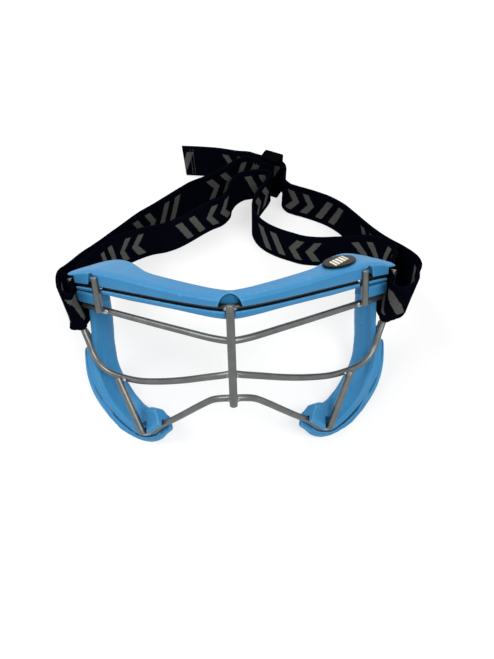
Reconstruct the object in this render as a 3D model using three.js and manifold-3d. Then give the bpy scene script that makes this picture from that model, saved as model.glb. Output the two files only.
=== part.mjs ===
// Lacrosse goggles lying on a table: a welded wire cage with moulded silicone pads,
// and one long elastic strap with a slide adjuster.
// Millimetres, +Z up. The cage and pads are drawn upright as worn, with x across the face,
// y towards the face and z up, and then lean back on the table as one group.
// The strap and its adjuster are drawn as they lie, in the table's own frame.

import * as THREE from "three";
import { mergeVertices } from "three/addons/utils/BufferGeometryUtils.js";
import Module from "manifold-3d";

const wasm = await Module();
wasm.setup();

// Cage
const halfWidth = 80; // centre line to the temples, the measure that the outlines follow
const wireDiameter = 3.2;
const barDiameter = 3.6;
const fit = 0.3; // gap between pieces that touch
const noseRound = 3.5; // rounding of the bend over the nose, seen from above
const leanAngle = 30; // degrees that the goggles lean back on the table
const sweepSlopeShare = 0.64; // how fast the cage sweeps back from the nose
const chinTiltShare = 0.1; // how far the lower cage stands forward, for each unit below the eyes
const wireSetShare = 0.015; // how far behind the cage's face the wires run

// Pads
const lipThickness = 2.6;
const slotRoom = 0.6; // above and below the wire in its slot
const slotDepth = 4.4;
const slotMouth = 1.8; // between the lips, in front of the brow wire
const lipReach = 2.1; // how far the side pads' lips stand in front of the wire's middle at the temple
const hookReach = 1.4; // how much further they stand where they hook over it
const browNotchRadius = 5.6;
const templeNotchRadius = 4;
const cheekNotchRadius = 3.6;

// Badge
const badgeLength = 20;
const badgeWidth = 12;
const badgeThickness = 1;
const badgeTurn = 10; // degrees, from along the pad

// Strap and slide adjuster
const strapReachShare = 2.5; // the strap's outlines on the table, to the half width
const strapWidth = 25.4;
const strapThickness = 1.6;
const sliderLength = 14;
const sliderWall = 2.6; // thickness of the end pieces, past the strap's edges
const sliderRoom = 0.5; // between the strap's edges and the end pieces
const outerBarWidth = 2.4;
const outerBarThickness = 2.2;
const centreBarDiameter = 2.2;
const sewnLength = 13; // doubled end of the strap, behind its stitching
const sliderTurn = -28; // degrees from across, seen from above

const wireRadius = wireDiameter / 2;
const barRadius = barDiameter / 2;
const wireSet = wireSetShare * halfWidth;
const barStand = wireRadius + barRadius + fit; // the bars lie in front of the wires they join
const strapReach = strapReachShare * halfWidth;
const up = new THREE.Vector3(0, 0, 1);

// From the upright frame to the table
const restShares = new THREE.Vector3(0, 0.25, -0.844); // where the cheeks meet the table
const toTable = new THREE.Matrix4()
  .makeRotationX(-THREE.MathUtils.degToRad(leanAngle))
  .multiply(new THREE.Matrix4().setPosition(restShares.clone().multiplyScalar(-halfWidth)));

// Materials
function finish(colour, roughness, metalness) {
  return new THREE.MeshStandardMaterial({ color: colour, roughness: roughness, metalness: metalness });
}

const satinSteel = () => finish(0x8f9698, 0.35, 0.85);
const blueSilicone = () => finish(0x4d9fdc, 0.45, 0);
const blackWebbing = () => finish(0x14161f, 0.85, 0);
const glossBlack = () => finish(0x0b0b0d, 0.2, 0);

function named(name, geometry, material) {
  const mesh = new THREE.Mesh(geometry, material);
  mesh.name = name;
  return mesh;
}

// Closed skins and solids
function volumeOf(positions, index) {
  const [a, b, c] = [new THREE.Vector3(), new THREE.Vector3(), new THREE.Vector3()];
  let sum = 0;
  for (let i = 0; i < index.length; i += 3) {
    a.fromArray(positions, 3 * index[i]);
    b.fromArray(positions, 3 * index[i + 1]);
    c.fromArray(positions, 3 * index[i + 2]);
    sum += a.dot(b.cross(c)) / 6;
  }
  return sum;
}

// A closed skin over rings of points; the outline is the flat shape that closes both ends
function loft(rings, outline) {
  const count = rings[0].length;
  const positions = rings.flat().flatMap((p) => [p.x, p.y, p.z]);
  const index = [];
  for (let i = 0; i < rings.length - 1; i++) {
    for (let j = 0; j < count; j++) {
      const a = i * count + j;
      const b = i * count + ((j + 1) % count);
      index.push(a, b, b + count, a, b + count, a + count);
    }
  }
  const last = (rings.length - 1) * count;
  const clockwise = THREE.ShapeUtils.isClockWise(outline);
  for (const [a, b, c] of THREE.ShapeUtils.triangulateShape(outline, [])) {
    const [d, e] = clockwise ? [b, c] : [c, b];
    index.push(a, d, e, last + a, last + e, last + d);
  }
  if (volumeOf(positions, index) < 0) index.reverse();
  const geometry = new THREE.BufferGeometry();
  geometry.setAttribute("position", new THREE.Float32BufferAttribute(positions, 3));
  geometry.setIndex(index);
  return geometry;
}

function toSolid(geometry) {
  const bare = geometry.clone();
  for (const key of Object.keys(bare.attributes)) {
    if (key !== "position") bare.deleteAttribute(key);
  }
  const merged = mergeVertices(bare);
  return new wasm.Manifold(new wasm.Mesh({
    numProp: 3,
    vertProperties: new Float32Array(merged.attributes.position.array),
    triVerts: new Uint32Array(merged.index.array),
  }));
}

function toGeometry(solid) {
  const mesh = solid.getMesh();
  const geometry = new THREE.BufferGeometry();
  geometry.setAttribute("position", new THREE.Float32BufferAttribute(mesh.vertProperties, 3));
  geometry.setIndex(new THREE.Uint32BufferAttribute(mesh.triVerts, 1));
  return geometry;
}

function join(geometries) {
  return geometries.map(toSolid).reduce((all, next) => all.add(next));
}

function cut(solid, cutters) {
  return cutters.map(toSolid).reduce((rest, next) => rest.subtract(next), solid);
}

function mirrorX(geometry) {
  const flipped = geometry.clone().scale(-1, 1, 1);
  flipped.setIndex(Array.from(flipped.index.array).reverse());
  return flipped;
}

// Rods
function roundShape(radius, sides) {
  const points = Array.from({ length: sides }, (_, i) => {
    const turn = (2 * Math.PI * i) / sides;
    return new THREE.Vector2(radius * Math.cos(turn), radius * Math.sin(turn));
  });
  return new THREE.Shape(points);
}

function bentRod(points, diameter, steps, sides = 10) {
  const path = new THREE.CatmullRomCurve3(points, false, "centripetal");
  return new THREE.ExtrudeGeometry(roundShape(diameter / 2, sides), { steps: steps, extrudePath: path });
}

function straightRod(from, to, diameter, sides = 12) {
  const path = new THREE.LineCurve3(from, to);
  return new THREE.ExtrudeGeometry(roundShape(diameter / 2, sides), { steps: 1, extrudePath: path });
}

// The cage's face: how far back it lies, at a place across and up
function sweepBack(x, z, set = 0) {
  const arm = Math.hypot(noseRound, sweepSlopeShare * x) - noseRound;
  return arm + chinTiltShare * Math.min(z, 0) + set;
}

function onCage([xShare, zShare], set = 0) {
  const x = xShare * halfWidth;
  const z = zShare * halfWidth;
  return new THREE.Vector3(x, sweepBack(x, z, set), z);
}

// The whole outline, from the right half's points, given from the middle out
function mirrored(points) {
  const left = points.filter((p) => p.x > 0).map((p) => new THREE.Vector3(-p.x, p.y, p.z));
  return [...left.reverse(), ...points];
}

// Wires, each place across and up as shares of the half width
const browWireShares = [
  [0, 0.18], [0.1, 0.177], [0.28, 0.168], [0.48, 0.162], [0.7, 0.155], [0.86, 0.148], [0.95, 0.14],
];
const upperEyeShares = [[0, -0.012], [0.08, -0.012], [0.3, -0.01], [0.6, -0.008], [0.945, -0.004]];
const lowerEyeShares = [
  [0, -0.205], [0.06, -0.22], [0.15, -0.255], [0.3, -0.32], [0.46, -0.38], [0.6, -0.42], [0.72, -0.433],
  [0.82, -0.425], [0.885, -0.39], [0.925, -0.335], [0.95, -0.255],
];
const rimShares = [
  [0, -0.352], [0.06, -0.36], [0.12, -0.385], [0.19, -0.44], [0.28, -0.52], [0.37, -0.6], [0.435, -0.655],
  [0.475, -0.695], [0.53, -0.755], [0.61, -0.785], [0.7, -0.765], [0.79, -0.71], [0.87, -0.625],
  [0.925, -0.525], [0.95, -0.42], [0.955, -0.32], [0.96, -0.225],
];
const rimBehindShares = [1.15, 1.1, 0.75, 0.3]; // wire diameters behind the face, from the top end down
const prongFoot = onCage([0.985, -0.16]).setY(0.59 * halfWidth);
const prongTop = onCage([1.03, 0.152]).setY(0.642 * halfWidth);
const prongMiddle = prongFoot.clone().lerp(prongTop, 0.5);

function browWire() {
  const points = browWireShares.map((place) => onCage(place, wireSet));
  return named("brow_wire", bentRod(mirrored(points), wireDiameter, 40), satinSteel());
}

function upperEyeWire() {
  const points = upperEyeShares.map((place) => onCage(place, wireSet));
  return named("upper_eye_wire", bentRod(mirrored(points), wireDiameter, 40), satinSteel());
}

// Its ends turn up at the temples as the prongs that carry the strap
function lowerEyeRod(diameter) {
  const points = lowerEyeShares.map((place) => onCage(place, wireSet));
  points.push(prongFoot, prongMiddle, prongTop);
  return bentRod(mirrored(points), diameter, 84);
}

function lowerEyeWire() {
  return named("lower_eye_wire", lowerEyeRod(wireDiameter), satinSteel());
}

// Nose bridge, cheeks and sides in one wire; its top ends pass behind the lower eye wire
function rimRod(diameter) {
  const points = rimShares.map((place, i) => {
    const behind = rimBehindShares[rimShares.length - 1 - i] ?? 0;
    return onCage(place, wireSet + behind * wireDiameter);
  });
  return bentRod(mirrored(points), diameter, 96);
}

function rimWire() {
  return named("rim_wire", rimRod(wireDiameter), satinSteel());
}

// Bars, in front of the wires that they join
const barSet = wireSet - barStand / Math.cos(Math.atan(sweepSlopeShare));
const templeBarShares = [[0.81, 0.16], [0.81, 0]];
const cheekBarShares = [[0.725, -0.433], [0.59, -0.76]];

function barBetween(from, to) {
  const along = to.clone().sub(from).setLength(barRadius);
  return straightRod(from.clone().sub(along), to.clone().add(along), barDiameter);
}

function bars() {
  const group = new THREE.Group();
  const [top, foot] = [onCage([0, 0.19], wireSet - barStand), onCage([0, -0.352], wireSet - barStand)];
  group.add(named("centre_bar", barBetween(top, foot), satinSteel()));
  for (const [side, label] of [[-1, "left"], [1, "right"]]) {
    for (const [kind, shares] of [["temple", templeBarShares], ["cheek", cheekBarShares]]) {
      const [from, to] = shares.map(([x, z]) => onCage([side * x, z], barSet));
      group.add(named(`${kind}_bar_${label}`, barBetween(from, to), satinSteel()));
    }
  }
  return group;
}

// Brow pad: a channel round the brow wire, narrow over the nose and deep at the temples.
// Each row: place across, depth of the top face, height of the top and of the foot.
const browPadShares = [
  [0, 0.115, 0.245, 0.115], [0.06, 0.115, 0.245, 0.115], [0.16, 0.118, 0.243, 0.115],
  [0.28, 0.125, 0.243, 0.115], [0.38, 0.13, 0.245, 0.112], [0.5, 0.135, 0.25, 0.108],
  [0.57, 0.15, 0.253, 0.105], [0.64, 0.185, 0.256, 0.105], [0.71, 0.225, 0.256, 0.105],
  [0.77, 0.243, 0.256, 0.105], [0.83, 0.248, 0.253, 0.105], [0.89, 0.225, 0.242, 0.105],
  [0.95, 0.195, 0.222, 0.105],
];
// The tips that run out over the strap: place across, depth, height of the top and of the underside
const browTipShares = [
  [0.92, 0.2, 0.232, 0.19], [0.95, 0.19, 0.222, 0.187], [0.975, 0.155, 0.213, 0.186],
  [0.998, 0.11, 0.207, 0.186], [1.01, 0.06, 0.204, 0.186],
];

function browOutline(depth, top, foot) {
  const slotTop = wireRadius + slotRoom;
  const crown = Math.max(top, slotTop + lipThickness);
  const base = Math.min(foot, -slotTop - lipThickness / 2);
  const face = -wireRadius - fit;
  const front = face - lipThickness / 2;
  return [
    [front, slotMouth / 2], [front, crown - lipThickness / 2],
    [front + lipThickness / 2, crown - lipThickness / 8], [0, crown], [depth - lipThickness, crown], [depth, crown - lipThickness],
    [depth - lipThickness / 2, crown - 2 * lipThickness], [slotDepth, base], [0, base],
    [front + lipThickness / 4, base + lipThickness / 3], [front, -slotMouth / 2], [face, -slotMouth / 2],
    [face, -slotTop], [slotDepth - lipThickness, -slotTop], [slotDepth - lipThickness, slotTop],
    [face, slotTop], [face, slotMouth / 2],
  ].map(([u, v]) => new THREE.Vector2(u, v));
}

function tipOutline(depth, top, foot) {
  const round = (top - foot) / 3;
  return [
    [-lipThickness, foot + round], [-lipThickness * 0.75, top - round], [0, top], [depth - round, top],
    [depth, top - round], [depth, foot], [-lipThickness * 0.75, foot],
  ].map(([u, v]) => new THREE.Vector2(u, v));
}

function browWireHeight(x) {
  const points = browWireShares.map((place) => onCage(place));
  const found = points.findIndex((p) => p.x >= Math.abs(x));
  const next = found < 1 ? (found < 0 ? points.length - 1 : 1) : found;
  const [a, b] = [points[next - 1], points[next]];
  return a.z + ((Math.abs(x) - a.x) / (b.x - a.x)) * (b.z - a.z);
}

// The pad's depth runs square to the cage, and turns smoothly over the nose
function browBack(x) {
  const slope = sweepSlopeShare * x;
  const turn = Math.atan((sweepSlopeShare * slope) / Math.hypot(2 * noseRound, slope));
  return new THREE.Vector3(-Math.sin(turn), Math.cos(turn), 0);
}

function browRing([xShare, depthShare, topShare, footShare], outlineOf) {
  const x = xShare * halfWidth;
  const z = browWireHeight(x);
  const outline = outlineOf(depthShare * halfWidth, topShare * halfWidth - z, footShare * halfWidth - z);
  const middle = new THREE.Vector3(x, sweepBack(x, 0, wireSet), z);
  const back = browBack(x);
  const ring = outline.map((p) => middle.clone().addScaledVector(back, p.x).addScaledVector(up, p.y));
  return { ring, outline };
}

function browLoft(rows, outlineOf) {
  const rings = rows.map((row) => browRing(row, outlineOf));
  return loft(rings.map((r) => r.ring), rings[0].outline);
}

function browNotch(xShare, radius) {
  const x = xShare * halfWidth;
  const reach = 2 * lipThickness + wireRadius;
  const notch = new THREE.CylinderGeometry(radius, radius, reach, 20);
  return notch.translate(x, sweepBack(x, 0, wireSet) + wireRadius - reach / 2, browWireHeight(x));
}

function browPad() {
  const left = browPadShares.slice(1).map(([x, ...rest]) => [-x, ...rest]).reverse();
  const tip = browLoft(browTipShares, tipOutline);
  const solid = join([browLoft([...left, ...browPadShares], browOutline), tip, mirrorX(tip)]);
  const temple = templeBarShares[0][0];
  const notches = [browNotch(0, browNotchRadius)];
  for (const side of [-1, 1]) notches.push(browNotch(side * temple, templeNotchRadius));
  return named("brow_pad", toGeometry(cut(solid, notches)), blueSilicone());
}

// Side pads: a body inside the rim wire, and below the temples a channel that wraps the wire
const sidePadShares = [
  { place: [0.93, 0.09], behind: 1.45, depth: 0.13, back: [-0.5, 0.87, 0], hook: 0.1, wall: 0.7 },
  { place: [0.935, 0], behind: 1.45, depth: 0.145, back: [-0.5, 0.87, 0], hook: 0.1, wall: 0.7 },
  { place: [0.938, -0.13], behind: 1.45, depth: 0.155, back: [-0.48, 0.88, 0], hook: 0.1, wall: 0.7 },
  { place: [0.945, -0.225], behind: 1.3, depth: 0.165, back: [-0.46, 0.89, 0], hook: 0.1, wall: 0.7 },
  { place: [0.955, -0.32], behind: 1.1, depth: 0.175, back: [-0.45, 0.89, 0.03], hook: 0.15, wall: 0.8 },
  { place: [0.95, -0.42], behind: 0.75, depth: 0.185, back: [-0.42, 0.9, 0.08], hook: 0.6, wall: 0.9 },
  { place: [0.925, -0.525], behind: 0.3, depth: 0.19, back: [-0.38, 0.9, 0.18], hook: 1, wall: 1 },
  { place: [0.87, -0.625], behind: 0, depth: 0.195, back: [-0.32, 0.9, 0.3], hook: 1, wall: 1.15 },
  { place: [0.79, -0.71], behind: 0, depth: 0.195, back: [-0.25, 0.88, 0.4], hook: 1, wall: 1.3 },
  { place: [0.7, -0.765], behind: 0, depth: 0.19, back: [-0.15, 0.87, 0.46], hook: 1, wall: 1.4 },
  { place: [0.61, -0.785], behind: 0, depth: 0.185, back: [-0.05, 0.87, 0.5], hook: 1, wall: 1.4 },
  { place: [0.53, -0.755], behind: 0, depth: 0.17, back: [0.05, 0.87, 0.5], hook: 1, wall: 1.3 },
  { place: [0.475, -0.695], behind: 0, depth: 0.15, back: [0.15, 0.87, 0.46], hook: 1, wall: 1.1 },
  { place: [0.435, -0.655], behind: 0, depth: 0.11, back: [0.2, 0.88, 0.42], hook: 1, wall: 0.9 },
];
const channelStart = 4; // the first row that has a channel
const cheekBarRow = 10; // the row beside the cheek bar's foot

// The inner wall hooks over the wire in front, by a share that grows below the temple
function innerOutline({ depth, hook }) {
  const face = -wireRadius - fit;
  const reach = lipReach + hook * hookReach;
  const over = face + hook * (wireDiameter - lipReach / 2);
  return [
    [face, face], [over, face], [over, -reach], [face - lipThickness / 2, -reach],
    [face - lipThickness, -lipReach / 2], [face - lipThickness * 1.15, depth / 2],
    [face - lipThickness * 1.5, depth - lipThickness], [face - lipThickness, depth], [face, depth],
  ].map(([u, v]) => new THREE.Vector2(u, v));
}

function channelOutline({ depth, hook, wall }) {
  const web = wireRadius + fit;
  const reach = lipReach + hook * hookReach;
  const outer = web + wall * lipThickness;
  return [
    [-web - fit, web], [web, web], [web, lipThickness / 2 - reach], [web + lipThickness / 4, -reach],
    [outer - lipThickness / 4, -reach], [outer, lipThickness / 2 - reach], [outer, depth / 2],
    [web, depth - lipThickness], [-fit, depth], [-web - fit, depth - fit],
  ].map(([u, v]) => new THREE.Vector2(u, v));
}

function sidePadFrames() {
  const places = sidePadShares.map((row) => onCage(row.place, wireSet + row.behind * wireDiameter));
  return sidePadShares.map((row, i) => {
    const before = places[Math.max(i - 1, 0)];
    const after = places[Math.min(i + 1, places.length - 1)];
    const back = new THREE.Vector3(...row.back).normalize();
    const outward = after.clone().sub(before).cross(back).normalize();
    return { ...row, place: places[i], outward, back, depth: row.depth * halfWidth };
  });
}

function padLoft(frames, outlineOf) {
  const rings = frames.map((frame) => outlineOf(frame).map((p) => {
    return frame.place.clone().addScaledVector(frame.outward, p.x).addScaledVector(frame.back, p.y);
  }));
  return loft(rings, outlineOf(frames[0]));
}

// The space below the table, in the goggles' upright frame
function belowTable() {
  const size = 4 * halfWidth;
  const box = new THREE.BoxGeometry(size, size, size);
  box.translate(0, 0, -size / 2);
  return box.applyMatrix4(toTable.clone().invert());
}

// Room in the inner lip for the foot of a cheek bar
function cheekNotch() {
  const foot = onCage(cheekBarShares[1], barSet);
  const back = new THREE.Vector3(...sidePadShares[cheekBarRow].back).normalize();
  const from = foot.clone().addScaledVector(back, -2 * barStand);
  return straightRod(from, foot.clone().addScaledVector(back, 1.5 * barStand), 2 * cheekNotchRadius);
}

// The block at each temple, between the brow pad and the upper eye wire
const templeBlockShares = [[0.79, 0.08, 0.09, 0.02], [0.95, 0.08, 0.09, 0.02]];

function blockOutline(depth, top, foot) {
  const corners = [[-wireRadius, foot], [-wireRadius, top], [depth, top], [depth, foot]];
  return corners.map(([u, v]) => new THREE.Vector2(u, v));
}

function sidePads() {
  const frames = sidePadFrames();
  const parts = [padLoft(frames, innerOutline), padLoft(frames.slice(channelStart), channelOutline)];
  parts.push(browLoft(templeBlockShares, blockOutline));
  const roomy = wireDiameter + 2 * fit;
  const right = toGeometry(cut(join(parts), [belowTable(), cheekNotch(), rimRod(roomy), lowerEyeRod(roomy)]));
  const group = new THREE.Group();
  group.add(named("side_pad_right", right, blueSilicone()));
  group.add(named("side_pad_left", mirrorX(right), blueSilicone()));
  return group;
}

// Badge: an oval plate on top of the brow pad's right wing; its place across, back and up
const badgeShares = [0.685, 0.075, 0.2565];

function badge() {
  const [x, behind, height] = badgeShares.map((share) => share * halfWidth);
  const shape = new THREE.Shape().absellipse(0, 0, badgeLength / 2, badgeWidth / 2, 0, 2 * Math.PI);
  const cast = { depth: badgeThickness, bevelEnabled: false, curveSegments: 12 };
  const plate = new THREE.ExtrudeGeometry(shape, cast);
  const mesh = named("badge", plate, glossBlack());
  const back = browBack(x);
  mesh.position.set(x, sweepBack(x, 0, wireSet), height + fit).addScaledVector(back, behind);
  mesh.rotation.z = Math.atan2(back.y, back.x) - Math.PI / 2 + THREE.MathUtils.degToRad(badgeTurn);
  return mesh;
}

// Strap: stations hold the middle of the webbing and the way its width points.
// A row on the table is its place across, back and up to the lower edge, as shares of the
// strap's reach, and how far the upper edge leans across and back.
function onTable([x, y, foot, leanAcross = 0, leanBack = 0]) {
  const width = new THREE.Vector3(leanAcross, leanBack, 1).normalize();
  const place = new THREE.Vector3(x, y, foot).multiplyScalar(strapReach);
  return { place: place.addScaledVector(up, (width.z * strapWidth) / 2), width };
}

const ribbonCorners = [[1, 1], [1, -1], [-1, -1], [-1, 1]];

function ribbon(stations, steps) {
  const places = new THREE.CatmullRomCurve3(stations.map((s) => s.place), false, "centripetal");
  const widths = new THREE.CatmullRomCurve3(stations.map((s) => s.width), false, "catmullrom");
  const count = (stations.length - 1) * steps;
  const rings = Array.from({ length: count + 1 }, (_, i) => {
    const middle = places.getPoint(i / count);
    const along = places.getTangent(i / count);
    const wide = widths.getPoint(i / count);
    wide.addScaledVector(along, -wide.dot(along)).setLength(strapWidth / 2);
    const thick = along.cross(wide).setLength(strapThickness / 2);
    return ribbonCorners.map(([a, b]) => middle.clone().addScaledVector(wide, a).addScaledVector(thick, b));
  });
  return loft(rings, ribbonCorners.map(([a, b]) => new THREE.Vector2(a, b)));
}

// Slide adjuster's own frame: along the strap, up, and square to it towards the viewer
const sliderShares = [0.1415, 0.972];
const sliderFoot = sliderWall + sliderRoom;
const sliderMiddle = new THREE.Vector3(...sliderShares, 0).multiplyScalar(strapReach);
sliderMiddle.z = sliderFoot + strapWidth / 2;
const sliderAngle = THREE.MathUtils.degToRad(sliderTurn);
const sliderAlong = new THREE.Vector3(Math.cos(sliderAngle), Math.sin(sliderAngle), 0);
const sliderFront = new THREE.Vector3(Math.sin(sliderAngle), -Math.cos(sliderAngle), 0);
const atSliderShares = [-1.3, -1, -0.5, -0.25, 0.25, 0.5]; // adjuster lengths along, from its middle

function atSlider(share) {
  return { place: sliderMiddle.clone().addScaledVector(sliderAlong, share * sliderLength), width: up };
}

const tailShares = [
  [-0.178, 1.07, 0.008], [-0.115, 1.06, 0.01], [-0.042, 1.042, 0.014], [0.02, 1.022, 0.0155],
];
const rightOuterShares = [
  [0.1815, 0.94, 0.0155], [0.183, 0.9175, 0.013], [0.178, 0.8925, 0.01], [0.179, 0.871, 0.0075],
  [0.1925, 0.8515, 0.005], [0.215, 0.84, 0.0025], [0.245, 0.829, 0], [0.285, 0.808, 0], [0.325, 0.782, 0],
  [0.36, 0.745, 0.002], [0.385, 0.695, 0.01], [0.407, 0.635, 0.025], [0.4305, 0.565, 0.046, 0.01, 0.02],
  [0.453, 0.495, 0.074, 0.02, 0.04], [0.47, 0.428, 0.108, 0.04, 0.07], [0.4755, 0.37, 0.1385, 0.06, 0.09],
  [0.4675, 0.322, 0.1635, 0.08, 0.1],
];
// Loosely round the temple prong
const rightLoopShares = [
  [0.4524, 0.2873, 0.1776, 0.08, 0.1], [0.4444, 0.2633, 0.1832, 0.03, 0.04],
  [0.4264, 0.2443, 0.1851, -0.02, 0.01], [0.4064, 0.2393, 0.1841, 0, 0],
  [0.3894, 0.2503, 0.1798, 0.06, 0.03], [0.3894, 0.2763, 0.1691, 0.11, 0.04],
  [0.3894, 0.3023, 0.1566, 0.11, 0.05],
];
const rightInnerShares = [
  [0.392, 0.338, 0.1455, 0.1, 0.06], [0.409, 0.372, 0.135, 0.12, 0.08], [0.432, 0.412, 0.117, 0.1, 0.1],
  [0.446, 0.46, 0.096, 0.06, 0.11], [0.437, 0.508, 0.066, 0.03, 0.09], [0.409, 0.548, 0.041, 0, 0.05],
  [0.365, 0.575, 0.018], [0.315, 0.592, 0.004], [0.26, 0.598, 0], [0.22, 0.605, 0], [0.185, 0.62, 0],
  [0.145, 0.64, 0], [0.11, 0.665, 0], [0.0825, 0.6975, 0], [0.067, 0.74, 0], [0.07, 0.785, 0],
  [0.085, 0.8225, 0.0025], [0.105, 0.8575, 0.005], [0.1235, 0.888, 0.0075], [0.13, 0.9075, 0.01],
  [0.119, 0.921, 0.01], [0.0975, 0.924, 0.01],
];
const leftInnerShares = [
  [0.065, 0.92, 0.01], [0.035, 0.9125, 0.01], [0.009, 0.8925, 0.0075], [-0.008, 0.8625, 0.005],
  [-0.015, 0.83, 0.0025], [-0.04, 0.7975, 0], [-0.075, 0.7775, 0], [-0.11, 0.7525, 0], [-0.15, 0.72, 0],
  [-0.19, 0.6925, 0], [-0.23, 0.675, 0], [-0.275, 0.665, 0], [-0.315, 0.6425, 0.005],
  [-0.3475, 0.6075, 0.02], [-0.37, 0.5575, 0.045, 0, 0.04], [-0.385, 0.495, 0.072, 0, 0.08],
  [-0.394, 0.43, 0.108, 0, 0.1], [-0.396, 0.375, 0.134, -0.07, 0.08], [-0.392, 0.338, 0.1455, -0.1, 0.06],
];
const leftLoopShares = [
  [-0.3894, 0.3023, 0.1566, -0.11, 0.05], [-0.3894, 0.2773, 0.17, -0.1, 0.05],
  [-0.3876, 0.2558, 0.1818, -0.04, 0.07], [-0.3966, 0.2443, 0.188, 0, 0.11],
  [-0.4096, 0.2538, 0.1902, 0, 0.13], [-0.4171, 0.2768, 0.1873, -0.05, 0.14],
  [-0.4216, 0.3028, 0.18, -0.1, 0.14],
];
const leftOuterShares = [
  [-0.4245, 0.335, 0.16, -0.09, 0.12], [-0.4215, 0.38, 0.136, -0.05, 0.11],
  [-0.4155, 0.435, 0.109, 0, 0.1], [-0.4055, 0.49, 0.079, 0, 0.08], [-0.391, 0.545, 0.054, 0, 0.05],
  [-0.369, 0.6, 0.037, 0, 0.03], [-0.336, 0.655, 0.027], [-0.3, 0.71, 0.0175], [-0.26, 0.7575, 0.009],
  [-0.22, 0.8025, 0.004], [-0.1825, 0.84, 0.0025],
];
const elasticShares = [
  [-0.1425, 0.875, 0.0025], [-0.0925, 0.9, 0.005], [-0.045, 0.9275, 0.009], [-0.0075, 0.9575, 0.012],
  [0.025, 0.9815, 0.0145], [0.05, 0.991, 0.0155],
];

function strap() {
  const rightSide = [...rightOuterShares, ...rightLoopShares, ...rightInnerShares];
  const leftSide = [...leftInnerShares, ...leftLoopShares, ...leftOuterShares];
  const stations = [
    ...tailShares.map(onTable), ...atSliderShares.map(atSlider),
    ...rightSide.map(onTable), ...leftSide.map(onTable),
  ];
  return named("strap", ribbon(stations, 3), blackWebbing());
}

// The middle of the sewn end, in front of the running strap
const barFront = strapThickness * 1.5 + 2 * fit + centreBarDiameter / 2;
const sewnMiddle = sliderMiddle.clone().addScaledVector(sliderFront, barFront);

// The elastic length starts a fit past the strap's end and stops a fit before the sewn end
function elasticLength() {
  const rows = elasticShares.map(onTable);
  const start = onTable(leftOuterShares[leftOuterShares.length - 1]);
  start.place.add(rows[0].place.clone().sub(start.place).setLength(2 * fit));
  const end = sewnMiddle.clone().addScaledVector(sliderAlong, -sewnLength - fit);
  return named("strap_elastic", ribbon([start, ...rows, { place: end, width: up }], 3), blackWebbing());
}

function placeAtSlider(mesh, front) {
  const turn = new THREE.Matrix4().makeBasis(sliderAlong, sliderFront.clone().negate(), up);
  mesh.quaternion.setFromRotationMatrix(turn);
  mesh.position.copy(sliderMiddle).addScaledVector(sliderFront, front);
  return mesh;
}

// The strap's end, folded round the centre bar and sewn to itself
function sewnEnd() {
  const inner = centreBarDiameter / 2 + fit;
  const outer = inner + strapThickness;
  const shape = new THREE.Shape();
  shape.moveTo(-sewnLength, -strapThickness);
  shape.lineTo(-2 * outer, -strapThickness);
  shape.quadraticCurveTo(-outer, -outer, 0, -outer);
  shape.absarc(0, 0, outer, -Math.PI / 2, Math.PI / 2);
  shape.quadraticCurveTo(-outer, outer, -2 * outer, strapThickness);
  shape.lineTo(-sewnLength, strapThickness);
  shape.closePath();
  shape.holes.push(new THREE.Path().absarc(0, 0, inner, 0, 2 * Math.PI));
  const body = new THREE.ExtrudeGeometry(shape, { depth: strapWidth, bevelEnabled: false, curveSegments: 6 });
  body.translate(0, 0, -strapWidth / 2);
  return placeAtSlider(named("strap_sewn_end", body, blackWebbing()), barFront);
}

// Slide adjuster: two end pieces, two flat outer bars behind the strap, and a round centre bar
function endPiece(front, back, foot) {
  const [half, round] = [sliderLength / 2, sliderWall / 2];
  const shape = new THREE.Shape();
  shape.moveTo(-half + round, front);
  shape.lineTo(half - round, front);
  shape.quadraticCurveTo(half, front, half, front + round);
  shape.lineTo(half, back - round);
  shape.quadraticCurveTo(half, back, half - round, back);
  shape.lineTo(-half + round, back);
  shape.quadraticCurveTo(-half, back, -half, back - round);
  shape.lineTo(-half, front + round);
  shape.quadraticCurveTo(-half, front, -half + round, front);
  const cast = { depth: sliderWall, bevelEnabled: false, curveSegments: 4 };
  const piece = new THREE.ExtrudeGeometry(shape, cast);
  return piece.translate(0, 0, foot);
}

function slider() {
  const half = strapWidth / 2 + sliderFoot;
  const back = strapThickness / 2 + fit + outerBarThickness + fit;
  const front = -barFront - centreBarDiameter / 2 - fit;
  const parts = [-half, half - sliderWall].map((foot) => endPiece(front, back, foot));
  const apart = sliderLength / 2 - outerBarWidth / 2 - fit;
  const behind = back - outerBarThickness / 2 - fit;
  for (const side of [-1, 1]) {
    const bar = new THREE.BoxGeometry(outerBarWidth, outerBarThickness, 2 * half - sliderWall);
    parts.push(bar.translate(side * apart, behind, 0));
  }
  const ends = [-half + sliderWall / 2, half - sliderWall / 2].map((z) => new THREE.Vector3(0, -barFront, z));
  parts.push(straightRod(ends[0], ends[1], centreBarDiameter));
  return placeAtSlider(named("slide_adjuster", toGeometry(join(parts)), glossBlack()), 0);
}

// Assembly
const goggles = new THREE.Group();
goggles.add(browWire(), upperEyeWire(), lowerEyeWire(), rimWire(), bars(), browPad(), sidePads(), badge());
goggles.applyMatrix4(toTable);

const root = new THREE.Group();
root.add(goggles, strap(), elasticLength(), sewnEnd(), slider());

// The origin is below the middle of the whole, on the table
root.updateMatrixWorld(true);
const box = new THREE.Box3().setFromObject(root, true);
const middle = box.getCenter(new THREE.Vector3());
root.position.set(-middle.x, -middle.y, -box.min.z);

export default root;
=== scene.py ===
import math

import bmesh
import bpy
import numpy as np
from mathutils import Matrix, Vector


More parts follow.
